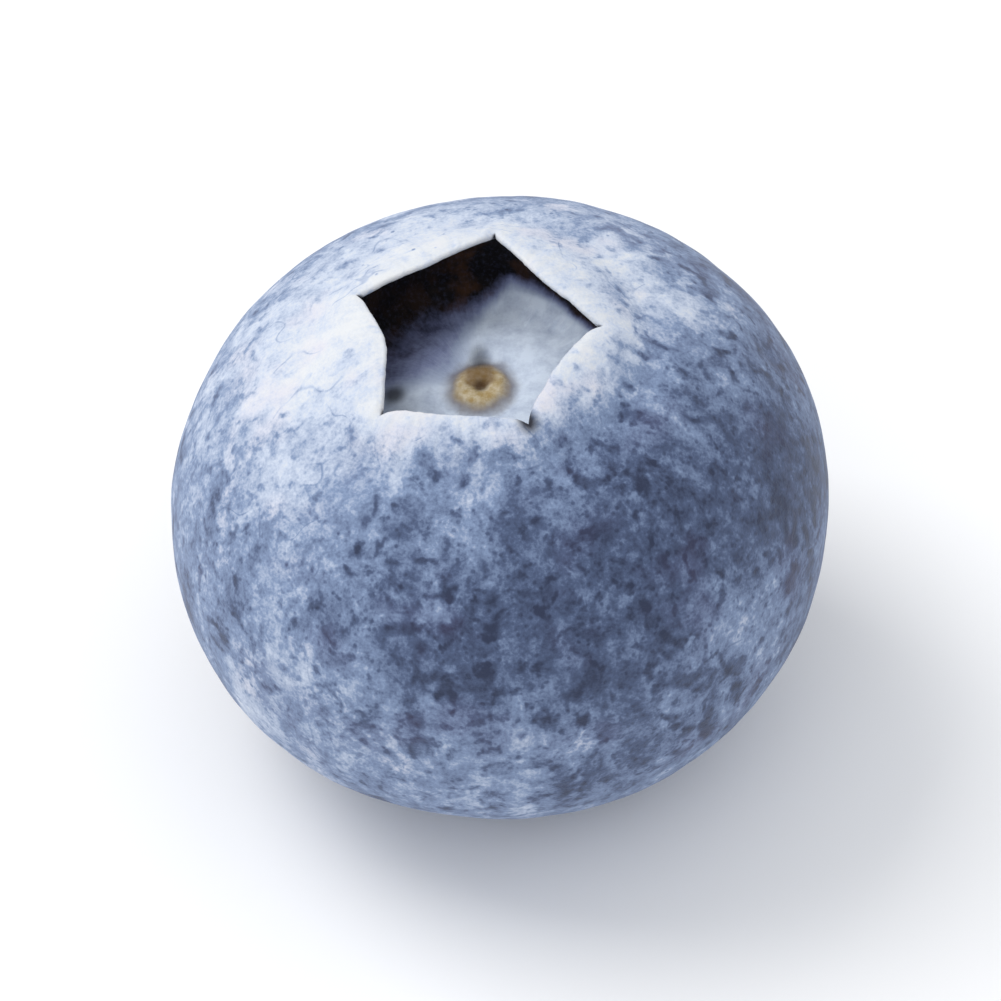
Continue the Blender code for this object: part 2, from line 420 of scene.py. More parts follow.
def dents(surface):
    """Shallow round dents, placed by a seeded draw anywhere but on the resting ring."""
    draw = np.random.default_rng(DENT_SEED)
    depth = np.zeros(surface.shape[:2])
    flank = surface[(PLACES > len(STEM_SCAR) + 2) & (PLACES < EDGE_STATION - LOBE_STATIONS)]
    for _ in range(DENT_COUNT):
        spot = flank[draw.integers(len(flank)), draw.integers(SPOKES)]
        width = draw.uniform(*DENT_WIDTHS)
        distance = np.linalg.norm(surface - spot, axis=2)
        depth += draw.uniform(*DENT_DEPTHS) * np.exp(-((distance / width) ** 2))
    return depth


GRAIN = grain_points()
print("dents:", DENT_COUNT, "the deepest", round(dents(SURFACE).max(), 3), "mm")

# %% [markdown]
# ## Where each kind of relief may lie
#
# Lumps belong to the smooth skin, wrinkles gather near the crown, and fibres show on the bowl's
# wall and on the torn collar below. Sculpting would put them there by hand. A mask from 0 to 1
# does it by distance along the spoke, so it fades out evenly all the way round.

# %% Mask the layers and add them up
above_scar = ease((RUN - SCAR_END) / SCAR_FADE)
skin = above_scar * ease(-PAST_EDGE / EDGE_FADE)
near_crown = np.exp(-((PAST_EDGE + CROWN_WRINKLES_AT) / CROWN_WRINKLES_REACH) ** 2)
lining = ease((PAST_EDGE - LINING_START) / LINING_FADE)
wall = lining * ease((FROM_AXIS - WALL_RADIUS) / WALL_FADE)
torn = np.exp(-((FROM_AXIS - COLLAR_RADIUS) / COLLAR_WIDTH) ** 2) * (RUN < COLLAR_END)
wrinkled = (EVEN_WRINKLES + near_crown) * ease(-PAST_EDGE / WRINKLE_FADE) * (RUN > SCAR_END)
fibres = layers(GRAIN, FIBRES)
relief = LUMP_HEIGHT * layers(SURFACE, LUMPS) * skin
relief -= SKIN_SINK * above_scar * ease(-PAST_EDGE / SINK_FADE)
relief += WRINKLE_HEIGHT * layers(GRAIN, WRINKLES) * wrinkled
relief += FIBRE_HEIGHT * fibres * wall
relief += layers(SURFACE, FLOOR_GRAIN) * lining
relief += FIBRE_HEIGHT * fibres * torn
relief -= dents(SURFACE) * skin
print("relief in mm:", round(relief.min(), 3), "to", round(relief.max(), 3))

# %% [markdown]
# ## One closed skin
#
# The berry's skin has no seam, so the mesh shouldn't have one either. Faces could be written out
# by number, but Blender's own globe already has them: as many spokes and rings as the arrays
# above, closed at both poles. Each of its points is looked up by latitude and longitude and moved
# to its place. Then the relief is pushed out along the point's normal.

# %% A globe with one point for every station of every spoke
RINGS = len(PLACES) - 1


def globe_mesh(name):
    shape = bmesh.new()
    bmesh.ops.create_uvsphere(shape, u_segments=SPOKES, v_segments=RINGS, radius=1.0)
    mesh = bpy.data.meshes.new(name)
    shape.to_mesh(mesh)
    shape.free()
    return mesh


def read_vectors(items, field):
    values = np.empty(len(items) * 3, np.float32)
    items.foreach_get(field, values)
    return values.reshape(-1, 3).astype(float)


print("globe:", RINGS, "rings by", SPOKES, "spokes")

# %% Move every point to its place and add the relief
berry_mesh = globe_mesh("blueberry_skin")
unit = read_vectors(berry_mesh.vertices, "co")
latitude = np.arcsin(np.clip(unit[:, 2], -1.0, 1.0))
RING_OF = np.rint((latitude / math.pi + 0.5) * RINGS).astype(int)
SPOKE_OF = np.rint(np.arctan2(unit[:, 1], unit[:, 0]) / math.tau * SPOKES).astype(int) % SPOKES


def on_points(values):
    """Reads a ring-by-spoke array in the mesh's own order of points."""
    return values[RING_OF, SPOKE_OF]


berry_mesh.vertices.foreach_set("co", (on_points(SURFACE) * MM).astype(np.float32).ravel())
berry_mesh.update()
normals = read_vectors(berry_mesh.vertex_normals, "vector")
if (normals * on_points(SURFACE - SURFACE.mean(axis=(0, 1)))).sum() < 0.0:
    berry_mesh.flip_normals()
    normals = -normals
placed = on_points(SURFACE) + on_points(relief)[:, None] * normals
placed[:, 2] = np.maximum(placed[:, 2], 0.0)
berry_mesh.vertices.foreach_set("co", (placed * MM).astype(np.float32).ravel())
berry_mesh.update()
berry_mesh.shade_smooth()
triangles = sum(len(face.vertices) - 2 for face in berry_mesh.polygons)
print("faces:", len(berry_mesh.polygons), "triangles:", triangles)

# %% [markdown]
# ## Where the bloom lies
#
# The bloom is a powder of wax. It is thickest where nothing has touched the berry, round the
# crown and on one shoulder, and thin where it rubbed against its neighbours. The same patches
# also carry painted light and shade: the upper left, towards the left softbox, is painted paler,
# and the front and the right side darker, than the wax alone would make them. A texture alone
# can't know that, so each patch is placed one by one: an azimuth and an elevation seen from the
# body's middle, a reach in degrees, and how much wax it adds or takes. The far side, which
# nobody can see in a picture, gets patches from a seeded draw.

# %% Patches: azimuth, elevation, reach, amount
BODY_MIDDLE = np.array([0.0, 0.0, 6.6])
BASE_BLOOM = 0.52
LEAST_BLOOM, MOST_BLOOM = 0.26, 1.10
CROWN_BLOOM = 0.12
CROWN_BLOOM_REACH = 0.9
# Besides wax, these patches hold painted light and shade: the upper left paler, the front and right
# darker.
WAX_AND_LIGHT_PATCHES = [
    (193.0, 56.0, 36.0, 0.38),
    (200.0, 75.0, 26.0, 0.25),
    (146.0, 72.0, 24.0, 0.20),
    (7.0, 62.0, 24.0, 0.36),
    (334.0, 53.0, 16.0, -0.04),
    (270.0, 25.0, 22.0, -0.26),
    (295.0, 33.0, 18.0, -0.16),
    (329.0, 31.0, 20.0, -0.23),
    (347.0, 22.0, 15.0, -0.17),
    (313.0, 44.0, 10.0, -0.12),
    (318.0, 63.0, 8.0, 0.10),
    (235.0, 19.0, 10.0, -0.14),
    (294.0, 26.0, 9.0, -0.10),
    (267.0, 20.0, 9.0, -0.10),
    (260.0, 47.0, 13.0, 0.02),
    (185.0, 12.0, 20.0, 0.03),
    (315.0, 8.0, 18.0, 0.04),
    (300.0, -8.0, 14.0, -0.13),
    (268.0, -10.0, 22.0, 0.15),
    (232.0, 3.0, 19.0, 0.14),
    (248.0, 33.0, 9.0, -0.11),
    (230.0, 17.0, 9.0, -0.11),
    (221.0, 33.0, 7.0, 0.08),
    (200.0, 26.0, 6.0, 0.06),
    (221.0, -10.0, 9.0, 0.18),
    (284.0, -15.0, 6.0, -0.32),
    (303.0, 38.0, 6.0, 0.12),
    (341.0, 50.0, 7.0, -0.10),
    (354.0, 16.0, 8.0, -0.14),
    (15.0, 68.0, 7.0, -0.14),
    (42.0, 57.0, 9.0, 0.20),
    (22.0, 40.0, 8.0, 0.22),
    (160.0, 41.0, 12.0, 0.18),
    (196.0, 61.0, 6.0, -0.26),
]
BACK_PATCHES, BACK_SEED = 9, 5
BACK_RANGES = [(15.0, 165.0), (-50.0, 45.0), (12.0, 28.0), (-0.3, 0.2)]
print("patches of bloom:", len(WAX_AND_LIGHT_PATCHES), "by hand and", BACK_PATCHES, "drawn")

# %% Add up the patches on every point
def direction(azimuth_degrees, elevation_degrees):
    a, e = math.radians(azimuth_degrees), math.radians(elevation_degrees)
    return np.array([math.cos(a) * math.cos(e), math.sin(a) * math.cos(e), math.sin(e)])


def back_patches():
    draw = np.random.default_rng(BACK_SEED)
    return [tuple(draw.uniform(*limits) for limits in BACK_RANGES) for _ in range(BACK_PATCHES)]


def bloom_and_light_amount(points):
    ray = points - BODY_MIDDLE
    ray /= np.linalg.norm(ray, axis=1, keepdims=True)
    bloom = np.full(len(points), BASE_BLOOM)
    for azimuth_degrees, elevation_degrees, reach, amount in WAX_AND_LIGHT_PATCHES + back_patches():
        cosine = np.clip(ray @ direction(azimuth_degrees, elevation_degrees), -1.0, 1.0)
        bloom += amount * np.exp(-((np.degrees(np.arccos(cosine)) / reach) ** 2))
    bloom += CROWN_BLOOM * np.exp(-((on_points(PAST_EDGE) / CROWN_BLOOM_REACH) ** 2))
    return np.clip(bloom, LEAST_BLOOM, MOST_BLOOM)


def store(mesh, name, values):
    kind, field = ("FLOAT", "value") if values.ndim == 1 else ("FLOAT_VECTOR", "vector")
    made = mesh.attributes.new(name, kind, "POINT")
    made.data.foreach_set(field, values.astype(np.float32).ravel())


bloom = bloom_and_light_amount(placed)
# The stored bloom holds the wax together with its painted light and shade.
store(berry_mesh, "bloom", bloom)
store(berry_mesh, "past_edge", on_points(PAST_EDGE))
store(berry_mesh, "from_axis", on_points(FROM_AXIS))
store(berry_mesh, "grain", on_points(GRAIN))
print("bloom:", round(bloom.min(), 2), "to", round(bloom.max(), 2))

# %% [markdown]
# ## Where the crown is dry, dark and in painted shade
#
# The bowl is dusted with bloom too, but under the lobes it stays bare, dry and nearly black, and
# that black is also painted shade on the side of the bowl that faces away from the light. How far
# the dark part reaches differs round the bowl: at the back left it runs down the wall and some
# way over the floor as painted shade and painted shadow of the lobe, elsewhere it is a thin line
# of painted shade under the lobe. So a short table says, for an azimuth, at what height over the
# floor the bloom ends and over what height it fades.
#
# A few marks come on top. The notches are painted dark. One dark spot lies on the floor at the
# left, a faint streak leaves the style's scar towards the back, and the wall there is rusty from
# what is left of the stamens.

# %% Measures of the bare and shaded parts: azimuth, height over the floor, fade
BARE_AND_SHADE_LINE = np.array([
    (0.0, 0.70, 0.30),
    (20.0, 0.28, 0.30),
    (40.0, 0.10, 0.30),
    (60.0, 0.20, 0.35),
    (75.0, 0.20, 0.50),
    (90.0, -0.72, 0.95),
    (122.0, -1.90, 2.30),
    (145.0, -2.20, 2.70),
    (165.0, -1.60, 2.20),
    (185.0, -0.60, 1.30),
    (225.0, -0.40, 1.20),
    (300.0, 0.40, 0.50),
])
INWARD_PALING, DISC_RADIUS = 0.8, 3.0  # the floor counts as lower towards the middle
# Reach of the dark spot painted at each notch.
NOTCH_DARK_SPOTS = [0.12, 0.12, 0.12, 0.16, 0.38]
FLOOR_SPOT_AZIMUTH, FLOOR_SPOT_RADIUS, FLOOR_SPOT_REACH = math.radians(181.0), 2.08, 0.33
STREAK_AZIMUTH, STREAK_WIDTH = math.radians(92.0), 0.32
STREAK_START, STREAK_FADE_IN, STREAK_END, STREAK_FADE_OUT = 0.12, 0.2, 1.80, 0.9
STREAK_SHARE, SPOT_SHARE = 0.72, 0.95
FLOOR_START = 1.0  # how far past the lobe's edge a spoke has surely left the lobe
RUST_AZIMUTH, RUST_REACH = math.radians(87.0), math.radians(15.0)
RUST_EVERYWHERE, RUST_START = 0.3, 0.3
print("notches with a stain:", len(NOTCH_DARK_SPOTS))

# %% Paint them as attributes
def dryness():
    """0 where the bowl is bloomed, rising to 1 where it is bare and in painted shade."""
    turn = np.degrees(azimuth) % 360.0
    limit = np.interp(turn, BARE_AND_SHADE_LINE[:, 0], BARE_AND_SHADE_LINE[:, 1], period=360.0)
    fade = np.interp(turn, BARE_AND_SHADE_LINE[:, 0], BARE_AND_SHADE_LINE[:, 2], period=360.0)
    inwards = np.maximum(DISC_RADIUS - FROM_AXIS, 0.0)
    rise = CURVE[..., 1] - BOWL_HEIGHT - INWARD_PALING * inwards
    return (rise - limit) / fade


def stains():
    """Dark spots at the notches and on the floor, and the streak from the style scar."""
    stain = np.zeros(RUN.shape)
    for number, reach in enumerate(NOTCH_DARK_SPOTS):
        tip = SURFACE[EDGE_RING, number * SPOKES_PER_LOBE]
        distance = np.linalg.norm(SURFACE - tip, axis=2)
        stain = np.maximum(stain, np.exp(-((distance / reach) ** 2)))
    along = FROM_AXIS * np.cos(azimuth - STREAK_AZIMUTH)
    across = FROM_AXIS * np.sin(azimuth - STREAK_AZIMUTH)
    streak = ease((along - STREAK_START + STREAK_FADE_IN) / STREAK_FADE_IN)
    streak = streak * ease((STREAK_END - along) / STREAK_FADE_OUT)
    on_floor = PAST_EDGE > FLOOR_START
    streak = streak * np.exp(-((across / STREAK_WIDTH) ** 2)) * on_floor
    sideways = FROM_AXIS * np.sin(azimuth - FLOOR_SPOT_AZIMUTH)
    inwards = FROM_AXIS * np.cos(azimuth - FLOOR_SPOT_AZIMUTH) - FLOOR_SPOT_RADIUS
    spot = np.exp(-(sideways**2 + inwards**2) / FLOOR_SPOT_REACH**2) * on_floor
    return np.maximum(np.maximum(stain, STREAK_SHARE * streak), SPOT_SHARE * spot)


def rust():
    """Rusty remains of the stamens, thickest at the back of the bowl."""
    off = (azimuth - RUST_AZIMUTH + math.pi) % math.tau - math.pi
    return (np.exp(-((off / RUST_REACH) ** 2)) + RUST_EVERYWHERE) * (PAST_EDGE > RUST_START)


# This attribute holds painted shade as well as bare dry tissue.
store(berry_mesh, "dryness", on_points(dryness()))
store(berry_mesh, "stain", on_points(stains()))
store(berry_mesh, "rust", on_points(rust()))
print("stained points:", int((on_points(stains()) > 0.3).sum()))

# %% [markdown]
# ## Writing materials as sums
#
# A material is a recipe: this much noise, less of that mask, mixed with that colour. Boxes and
# wires hide the recipe, so one small class wraps a socket and lets Python write it as a sum.
# Numbers go through Math nodes. Colours and vectors go through Mix and Vector Math nodes,
# because a Math node would turn a colour grey.

# %% A socket that can be added, multiplied and mixed
COLOUR_A, COLOUR_B, COLOUR_RESULT = 6, 7, 2


class Dab:
    """One output of a node, in one material's tree."""

    def __init__(self, tree, socket=None):
        self.tree = tree
        self.socket = socket

    def node(self, kind, settings=None, sockets=None, output=0):
        """Adds a node: its settings first, then the values or links of its sockets."""
        made = self.tree.nodes.new("ShaderNode" + kind)
        for name, value in (settings or {}).items():
            if name == "stops":
                fill_ramp(made.color_ramp, value)
            else:
                setattr(made, name, value)
        for name, value in (sockets or {}).items():
            if isinstance(value, Dab):
                self.tree.links.new(value.socket, made.inputs[name])
            else:
                made.inputs[name].default_value = value
        return Dab(self.tree, made.outputs[output])

    def maths(self, operation, first, second=0.0):
        return self.node("Math", {"operation": operation}, {0: first, 1: second})

    def __add__(self, other):
        return self.maths("ADD", self, other)

    def __sub__(self, other):
        return self.maths("SUBTRACT", self, other)

    def __rsub__(self, other):
        return self.maths("SUBTRACT", other, self)

    def __mul__(self, other):
        return self.maths("MULTIPLY", self, other)

    __radd__ = __add__
    __rmul__ = __mul__

    def step(self, low, high):
        """Runs smoothly from 0 at low to 1 at high."""
        ends = {"Value": self, "From Min": low, "From Max": high}
        return self.node("MapRange", {"interpolation_type": "SMOOTHSTEP"}, ends)

    def stretched(self, scale):
        return self.node("VectorMath", {"operation": "MULTIPLY"}, {0: self, 1: scale})

    def moved(self, other):
        return self.node("VectorMath", {"operation": "ADD"}, {0: self, 1: other})

    def mixed(self, other, share):
        """This colour, painted over with another as thickly as share says."""
        colours = {"Factor": share, COLOUR_A: self, COLOUR_B: other}
        return self.node("Mix", {"data_type": "RGBA"}, colours, COLOUR_RESULT)

    def ramp(self, stops):
        return self.node("ValToRGB", {"stops": stops}, {"Fac": self})

    def noise(self, scale, detail=2.0, rough=0.5, output=0):
        """Noise at this vector, with a scale in spots a millimetre; its middle value is 0.5."""
        sockets = {"Vector": self, "Scale": scale, "Detail": detail, "Roughness": rough}
        return self.node("TexNoise", None, sockets, output)

    def cells(self, scale, output=0):
        """Distance to the nearest of many scattered dots, or with output 1 each cell's colour."""
        return self.node("TexVoronoi", None, {"Vector": self, "Scale": scale}, output)

    def attribute(self, name, output="Fac"):
        return self.node("Attribute", {"attribute_name": name}, None, output)

# %% Helpers that every material uses
def fill_ramp(ramp, stops):
    """Gives a colour ramp its stops, each a place and a colour."""
    while len(ramp.elements) < len(stops):
        ramp.elements.new(1.0)
    for element, (place, colour) in zip(ramp.elements, stops):
        element.position = place
        element.color = (*colour, 1.0)


def new_material(name):
    """Returns the material, its shader's sockets and a dab to paint with."""
    material = bpy.data.materials.new(name)
    material.use_nodes = True
    return material, material.node_tree.nodes["Principled BSDF"].inputs, Dab(material.node_tree)


def plug(dab, socket):
    dab.tree.links.new(dab.socket, socket)


def millimetres(dab):
    """The point's own place on the berry, in millimetres."""
    return dab.node("TexCoord", output="Object").stretched((1.0 / MM,) * 3)


def bump(height):
    """A normal from a height in millimetres."""
    return height.node("Bump", None, {"Height": height, "Distance": MM})


print("a dab can be:", ", ".join(name for name in vars(Dab) if not name.startswith("_")))

# %% [markdown]
# ## Skin and bloom
#
# Bare blueberry skin is nearly black, blue with a breath of violet, and it shines a little. The
# wax on it is matt and scatters light, so the thicker it lies the paler and bluer the berry.
# One number, the cover, therefore drives the colour and the roughness together. It starts from
# the painted attribute, which carries painted light and shade along with the wax, and is broken
# up at every size that the eye can find: clouds, blots, flecks, streaks along the spokes, smudges
# and nicks that bared the skin, pores, and a powder grain. Where the bloom is thick, the small
# ones are held back, as wax fills them.

# %% Colours, from bare skin to the thickest wax
BARE_SKIN = (0.020, 0.027, 0.060)
THIN_WAX = (0.070, 0.098, 0.182)
EVEN_WAX = (0.208, 0.276, 0.425)
THICK_WAX = (0.520, 0.580, 0.695)
HEAVY_WAX = (0.695, 0.708, 0.720)
LILAC_WAX = (0.690, 0.650, 0.700)
VIOLET = (0.085, 0.055, 0.135)
DRY_EDGE = (0.060, 0.040, 0.035)
STAIN_DARK = (0.016, 0.014, 0.018)
SKIN_STOPS = [
    (0.0, BARE_SKIN),
    (0.25, THIN_WAX),
    (0.55, EVEN_WAX),
    (0.82, THICK_WAX),
    (1.0, HEAVY_WAX),
]
print("skin colours:", len(SKIN_STOPS), "from bare to heavy wax")

# %% How much wax hides the skin, with painted light and shade in it
CLOUDS, BLOTS, FLECKS, STREAKS, POWDER = 0.55, 0.5, 0.6, 0.45, 0.4
SMUDGES, NICKS, PORES = 0.34, 0.24, 0.12
BARE_AMOUNT, FULL_AMOUNT = -0.12, 1.23


def wax_cover_and_painted_light(dab, spot):
    """How much wax hides the skin, from 0 to 1, with the painted light and shade of the bloom in it.
    """
    loose = spot.moved(spot.noise(0.7, 2.0, output=1).stretched((0.7, 0.7, 0.7)))
    # The bloom attribute carries painted light and shade along with the wax.
    bloom = dab.attribute("bloom")
    thin = 1.5 - bloom
    clouds = loose.noise(0.38, 3.0, 0.5) - 0.5
    blots = loose.noise(1.1, 3.0, 0.55) - 0.5
    flecks = loose.noise(3.1, 3.0, 0.55) - 0.5
    powder = spot.noise(13.0, 3.0, 0.6) - 0.5
    grain = dab.attribute("grain", "Vector")
    streaks = grain.stretched((9.0, 9.0, 3.0)).noise(1.0, 3.0, 0.55) - 0.5
    smudges = loose.noise(1.5, 2.0, 0.5).step(0.46, 0.70) * loose.noise(0.45, 1.0).step(0.40, 0.60)
    nicks = loose.noise(3.0, 2.0, 0.5).step(0.54, 0.74)
    amount = bloom + CLOUDS * clouds + BLOTS * blots + FLECKS * flecks * thin
    amount = amount + STREAKS * streaks + POWDER * powder
    amount = amount - (SMUDGES * smudges + NICKS * nicks) * thin
    pores = 1.0 - spot.cells(4.5).step(0.12, 0.34)
    return (amount - PORES * pores * thin).step(BARE_AMOUNT, FULL_AMOUNT)


print("the skin is bare below", BARE_AMOUNT, "and hidden above", FULL_AMOUNT)

# %% [markdown]
# ## Rub marks and specks
#
# Berries roll against one another and leave thin curved lines in the wax, and here and there a
# small dot. Painting them would need an image. The level lines of a smooth noise already curl
# like rub marks, and the cells of a Voronoi texture scatter dots, so both come from formulas.

# %% Curls and dots
CURL_SPOTS, CURL_WIDTH, CURL_SHARE = 0.85, 0.022, 0.22
DOT_SPOTS, DOT_SIZE, DOT_SHARE = 1.1, 0.08, 0.4


def curls(spot, scale, width):
    """Thin curved rub marks, along the level lines of a smooth noise."""
    loose = spot.moved(spot.noise(0.9, 1.0, output=1).stretched((0.6, 0.6, 0.6)))
    field = loose.noise(scale, 1.0) - 0.5
    lines = 1.0 - field.maths("ABSOLUTE", field).step(0.0, width)
    return lines * spot.noise(0.9, 2.0).step(0.50, 0.62)


def specks(spot, scale, size):
    """Small round dots, on about a third of the cells."""
    dots = 1.0 - spot.cells(scale).step(0.35 * size, size)
    chosen = spot.cells(scale, output=1).node("SeparateColor", None, None)
    return dots * chosen.step(0.62, 0.66)


print("curls take", CURL_SHARE, "and dots", DOT_SHARE, "of the cover")

# %% [markdown]
# ## The skin's material
#
# The cover now picks the colour. Where it is thin, violet shows through; where it is thick, a
# faint lilac blush. The lobes' edge is dry and brown. Wax under glancing light looks soft and
# bluish, which a little sheen gives, and a fine bump keeps the powder from looking polished.

# %% Colour, roughness, bump and sheen
def bloomed_skin():
    material, shader, dab = new_material("bloomed_skin")
    spot = millimetres(dab)
    # The cover carries the painted light and shade of the bloom attribute into colour and roughness.
    cover_with_painted_light = wax_cover_and_painted_light(dab, spot)
    rubbed = curls(spot, CURL_SPOTS, CURL_WIDTH)
    dots = specks(spot, DOT_SPOTS, DOT_SIZE)
    cover_with_painted_light = cover_with_painted_light * (1.0 - CURL_SHARE * rubbed) * (1.0 - DOT_SHARE * dots)
    colour = cover_with_painted_light.ramp(SKIN_STOPS)
    violet = spot.noise(0.5, 3.0).step(0.5, 0.72) * (1.0 - cover_with_painted_light)
    colour = colour.mixed((*VIOLET, 1.0), 0.2 * violet)
    blush = spot.noise(0.6, 2.0).step(0.5, 0.68) * cover_with_painted_light.step(0.5, 0.9)
    colour = colour.mixed((*LILAC_WAX, 1.0), 0.5 * blush)
    edge = dab.attribute("past_edge").step(0.0, 0.25)
    colour = colour.mixed((*DRY_EDGE, 1.0), 0.85 * edge)
    colour = colour.mixed((*STAIN_DARK, 1.0), dab.attribute("stain").step(0.25, 0.85))
    plug(colour, shader["Base Color"])
    plug(0.54 + 0.30 * cover_with_painted_light, shader["Roughness"])
    height = 0.022 * spot.noise(6.0, 3.0, 0.6) + 0.010 * spot.noise(22.0, 1.0)
    plug(bump(height), shader["Normal"])
    shader["Specular IOR Level"].default_value = 0.35
    shader["Specular Tint"].default_value = (0.62, 0.74, 1.0, 1.0)
    shader["Sheen Weight"].default_value = 0.12
    shader["Sheen Roughness"].default_value = 0.6
    shader["Sheen Tint"].default_value = (0.75, 0.82, 1.0, 1.0)
    print("skin:", len(dab.tree.nodes), "nodes")
    return material

# %% [markdown]
# ## Inside the crown
#
# The bowl's floor is bloomed like the skin, the wall above it is bare and almost black, with a
# rust-brown patch where the stamens stood. Its near black, and the dark and dusky floor at the
# back left, are painted shade and painted shadow of the lobes. The scar of the style sits in the
# middle: dull gold with a dark dot, in a thin brown halo. Each band is a step on a painted
# attribute or on the distance from the berry's own axis, so it stays true from any side.

# %% The lining of the bowl
# The stops run from painted shade, the wall and floor in the lee of the lobes, to the bloom where
# light falls.
WALL_DARK_IN_SHADE = (0.004, 0.003, 0.004)
WALL_RUST = (0.075, 0.032, 0.014)
FLOOR_SHADE = (0.078, 0.088, 0.165)
FLOOR_HALF_SHADE = (0.225, 0.262, 0.425)
FLOOR_BLOOM = (0.440, 0.515, 0.670)
FLOOR_HEAVY = (0.700, 0.790, 0.930)
HALO_BROWN = (0.120, 0.070, 0.038)
SCAR_GOLD = (0.430, 0.310, 0.135)
SCAR_CREAM = (0.620, 0.535, 0.380)
SCAR_RUST = (0.150, 0.078, 0.030)
SCAR_DOT = (0.070, 0.034, 0.014)
LINING_STOPS = [
    (0.0, WALL_DARK_IN_SHADE),
    (0.16, FLOOR_SHADE),
    (0.42, FLOOR_HALF_SHADE),
    (0.72, FLOOR_BLOOM),
    (1.0, FLOOR_HEAVY),
]


def bowl_lining():
    material, shader, dab = new_material("bowl_lining")
    spot = millimetres(dab)
    grain = dab.attribute("grain", "Vector")
    fibres = grain.stretched((30.0, 30.0, 6.0)).noise(1.0, 4.0, 0.65)
    mottle = spot.noise(2.2, 4.0, 0.6)
    fine = spot.noise(11.0, 3.0, 0.6) - 0.5
    # Here the painted shade of the bowl picks the dark end of the ramp, together with the bare dry
    # tissue.
    bare_and_shaded = dab.attribute("dryness") + 0.7 * (mottle - 0.5) + 0.12 * (fibres - 0.5)
    cover_with_painted_light = 1.0 - bare_and_shaded.step(-0.25, 0.95)
    cover_with_painted_light = cover_with_painted_light * (0.55 + 0.75 * mottle) + 0.15 * fine
    colour = cover_with_painted_light.ramp(LINING_STOPS)
    rusty = spot.noise(1.3, 3.0).step(0.40, 0.60) * bare_and_shaded.step(0.4, 0.8) * (1.0 - bare_and_shaded.step(1.6, 3.0))
    rusty = rusty * dab.attribute("rust") * (0.35 + 0.5 * fibres)
    colour = colour.mixed((*WALL_RUST, 1.0), rusty)
    from_axis = dab.attribute("from_axis") + 0.25 * (spot.noise(3.0, 3.0) - 0.5)
    colour = colour.mixed((*HALO_BROWN, 1.0), 0.7 * (1.0 - from_axis.step(0.64, 1.05)))
    gold = spot.noise(5.0, 3.0, 0.6).ramp([(0.35, SCAR_GOLD), (0.62, SCAR_CREAM)])
    colour = colour.mixed(gold, 1.0 - from_axis.step(0.48, 0.76))
    stain = dab.attribute("stain")
    streaked = stain.step(0.02, 0.4) * (1.0 - from_axis.step(0.5, 0.8))
    colour = colour.mixed((*SCAR_RUST, 1.0), 0.7 * streaked)
    colour = colour.mixed((*SCAR_DOT, 1.0), 0.85 * (1.0 - from_axis.step(0.05, 0.26)))
    colour = colour.mixed((*STAIN_DARK, 1.0), 0.8 * stain.step(0.15, 0.9) * from_axis.step(0.45, 0.75))
    plug(colour, shader["Base Color"])
    plug(0.62 + 0.3 * mottle, shader["Roughness"])
    plug(bump(0.02 * fibres + 0.02 * mottle + 0.006 * spot.noise(18.0, 2.0)), shader["Normal"])
    shader["Specular IOR Level"].default_value = 0.15
    print("lining:", len(dab.tree.nodes), "nodes")
    return material

# %% [markdown]
# ## Underneath
#
# The stem scar has a pale torn collar, a dark pit and a brown stub. Three pieces with a material
# each would leave edges between them. One material with soft steps on the distance from the axis
# blends them as dry tissue does, and hardly any gloss keeps it dry.

# %% The stem scar
PIT_DARK = (0.020, 0.012, 0.010)
COLLAR_PALE = (0.300, 0.240, 0.170)
STUB_BROWN = (0.200, 0.110, 0.050)


def stem_scar():
    material, shader, dab = new_material("stem_scar")
    spot = millimetres(dab)
    grain = dab.attribute("grain", "Vector")
    fibres = grain.stretched((26.0, 26.0, 20.0)).noise(1.0, 4.0, 0.65)
    from_axis = dab.attribute("from_axis") + 0.16 * (fibres - 0.5)
    skin = spot.noise(2.4, 4.0).ramp([(0.3, THIN_WAX), (0.7, EVEN_WAX)])
    collar = fibres.ramp([(0.3, STUB_BROWN), (0.65, COLLAR_PALE)])
    colour = skin.mixed(collar, 1.0 - from_axis.step(1.35, 1.6))
    colour = colour.mixed((*PIT_DARK, 1.0), 1.0 - from_axis.step(0.95, 1.1))
    stub = fibres.ramp([(0.35, PIT_DARK), (0.6, STUB_BROWN)])
    colour = colour.mixed(stub, 1.0 - from_axis.step(0.34, 0.44))
    plug(colour, shader["Base Color"])
    plug(0.7 + 0.2 * fibres, shader["Roughness"])
    plug(bump(0.03 * fibres + 0.01 * spot.noise(14.0, 2.0)), shader["Normal"])
    shader["Specular IOR Level"].default_value = 0.25
    print("stem scar:", len(dab.tree.nodes), "nodes")
    return material

# %% [markdown]
# ## Put the berry together
#
# One mesh wears the three finishes. The change from skin to lining is hidden on the underside
# of the lobes, and the change to the stem scar lies inside the resting ring, so neither shows
# as a line.

# %% Give each face its finish
LINING_PLACE = EDGE_STATION + 2
SCAR_PLACE = STEM_SCAR.index((REST_INNER_RADIUS, 0.0))


def face_finishes(mesh):
    """Per face: 0 for the skin, 1 for the bowl's lining, 2 for the stem scar."""
    finishes = np.empty(len(mesh.polygons), np.int32)
    for number, face in enumerate(mesh.polygons):
        place = PLACES[[RING_OF[point] for point in face.vertices]].mean()
        finishes[number] = 1 if place > LINING_PLACE else 2 if place < SCAR_PLACE else 0
    return finishes


for finish in (bloomed_skin(), bowl_lining(), stem_scar()):
    berry_mesh.materials.append(finish)
berry_mesh.polygons.foreach_set("material_index", face_finishes(berry_mesh))
berry = bpy.data.objects.new("blueberry_skin", berry_mesh)
bpy.context.scene.collection.objects.link(berry)
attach(berry, "root")
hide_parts("blueberry")
print("finishes:", [finish.name for finish in berry_mesh.materials])

